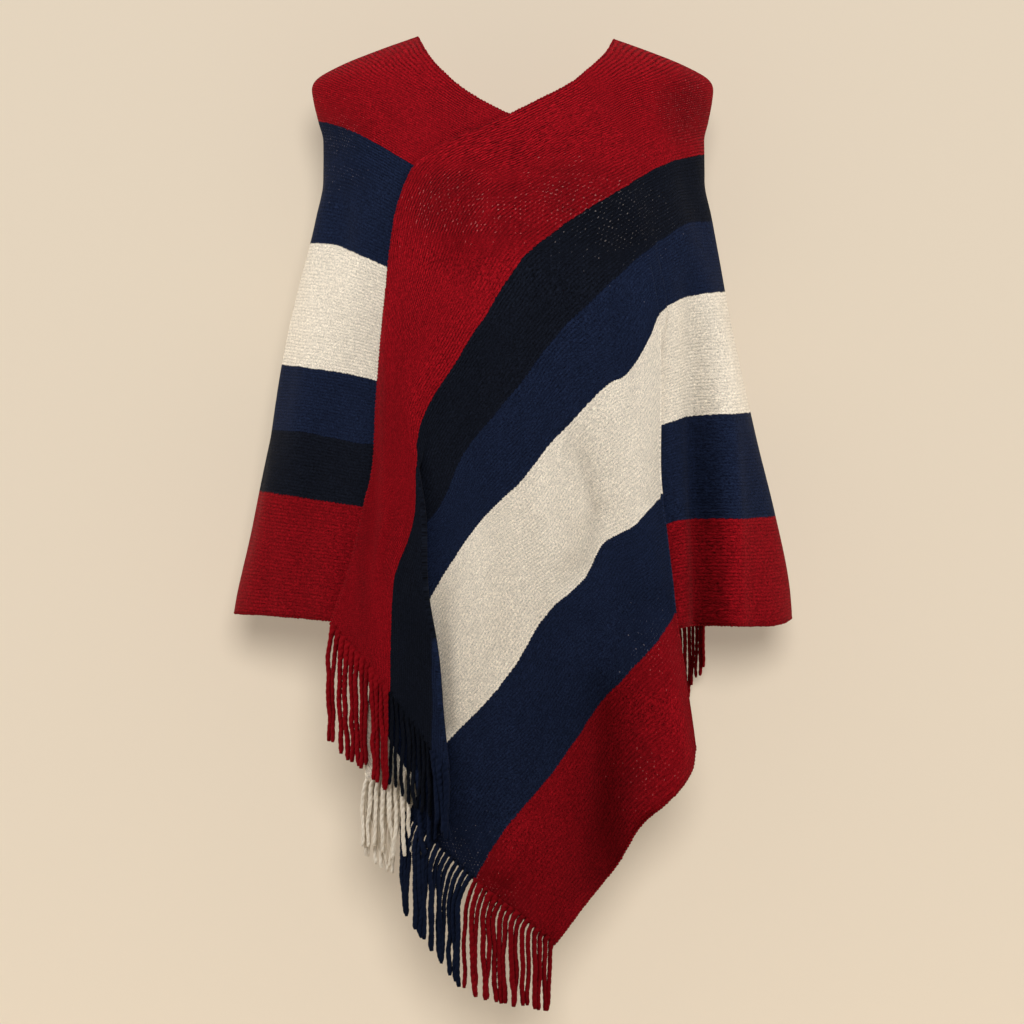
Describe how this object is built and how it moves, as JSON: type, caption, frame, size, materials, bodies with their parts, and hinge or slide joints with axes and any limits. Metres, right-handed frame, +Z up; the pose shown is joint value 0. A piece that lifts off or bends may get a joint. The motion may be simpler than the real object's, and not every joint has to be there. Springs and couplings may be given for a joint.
{
  "type": "knitted poncho sweater",
  "caption": "Hollow worn poncho of wide striped knitted panels that hang over the shoulders, cross at front and back, and end in fringe.",
  "frame": {"origin": "between the two shoulder points, where the garment rests on its wearer", "axes": "+Z up, -Y out of the garment's front, +X towards the wearer's left"},
  "size_m": [0.6026, 0.3442, 1.0559],
  "materials": {
    "red_knit": "matt",
    "black_knit": "matt",
    "navy_knit": "matt",
    "cream_knit": "matt"
  },
  "bodies": {
    "root": {"wrap_panel": "red_knit", "under_panel": "navy_knit", "front_fringe_red_1": "red_knit", "front_fringe_black_1": "black_knit", "front_fringe_navy_1": "navy_knit", "front_fringe_cream_1": "cream_knit", "front_fringe_navy_2": "navy_knit", "front_fringe_red_2": "red_knit", "back_fringe_red_1": "red_knit", "back_fringe_navy_1": "navy_knit", "back_fringe_cream_1": "cream_knit", "back_fringe_navy_2": "navy_knit", "back_fringe_black_1": "black_knit", "back_fringe_red_2": "red_knit"}
  },
  "joints": []
}
